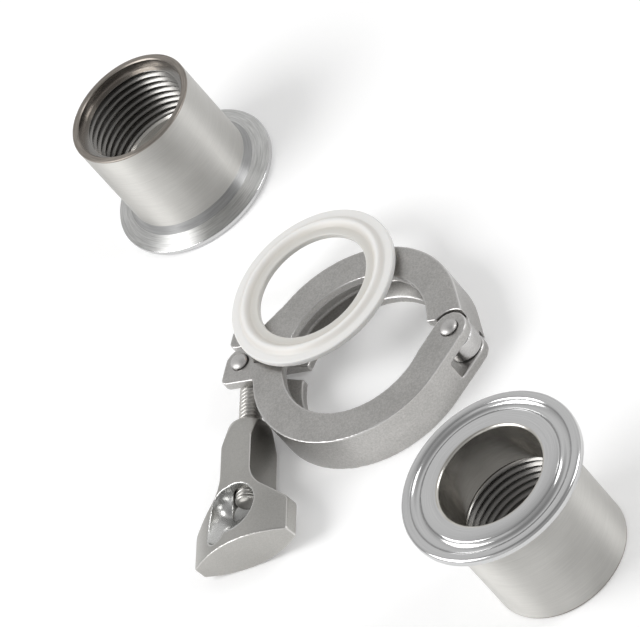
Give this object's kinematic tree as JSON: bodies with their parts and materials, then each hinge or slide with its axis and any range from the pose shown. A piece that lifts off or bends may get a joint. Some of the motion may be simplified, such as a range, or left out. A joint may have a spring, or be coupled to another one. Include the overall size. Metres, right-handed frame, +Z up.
{
  "type": "sanitary clamp threaded adapter",
  "caption": "Sanitary clamp pipe connection laid out in pieces: threaded ferrules, sealing gasket and hinged clamp with swing bolt and wing nut.",
  "frame": {"origin": "middle of the footprint, on the surface that the pieces lie on", "axes": "+Z up along the ferrules' axes, +Y along the row from the ferrule that stands sealing face up to the one that stands thread up, +X to the right of a viewer who looks along +Y"},
  "size_m": [0.1028, 0.2582, 0.037],
  "materials": {
    "turned_stainless": "turned and polished stainless steel, with fine lathe lines round the flange",
    "cast_stainless": "bead-blasted cast stainless steel with polished edges",
    "satin_stainless": "satin cast stainless steel with bright edges",
    "bright_stainless": "bright stainless steel",
    "white_sealing_plastic": "smooth opaque white sealing plastic with a soft sheen"
  },
  "bodies": {
    "fork_half": {"clamp_half_fork": "cast_stainless", "hinge_pin": "bright_stainless", "bolt_pin": "bright_stainless", "ferrule_thread_up": "turned_stainless", "ferrule_face_up": "turned_stainless"},
    "slot_half": {"clamp_half_slot": "cast_stainless", "gasket": "white_sealing_plastic"},
    "bolt": {"swing_bolt": "bright_stainless"},
    "nut": {"wing_nut": "satin_stainless"}
  },
  "joints": [
    {"name": "clamp_hinge", "type": "hinge", "parent": "fork_half", "child": "slot_half", "pos_m": [0.04112, -0.0276, 0.0065], "axis": [0, 0, -1], "range_deg": [0, 95]},
    {"name": "bolt_swing", "type": "hinge", "parent": "fork_half", "child": "bolt", "pos_m": [-0.00636, 0.01825, 0.0065], "axis": [0, 0, -1], "range_deg": [0, 192]},
    {"name": "nut_turn", "type": "hinge", "parent": "bolt", "child": "nut", "pos_m": [-0.00636, 0.01825, 0.0065], "axis": [-0.5299, -0.848, 0], "continuous": true}
  ]
}
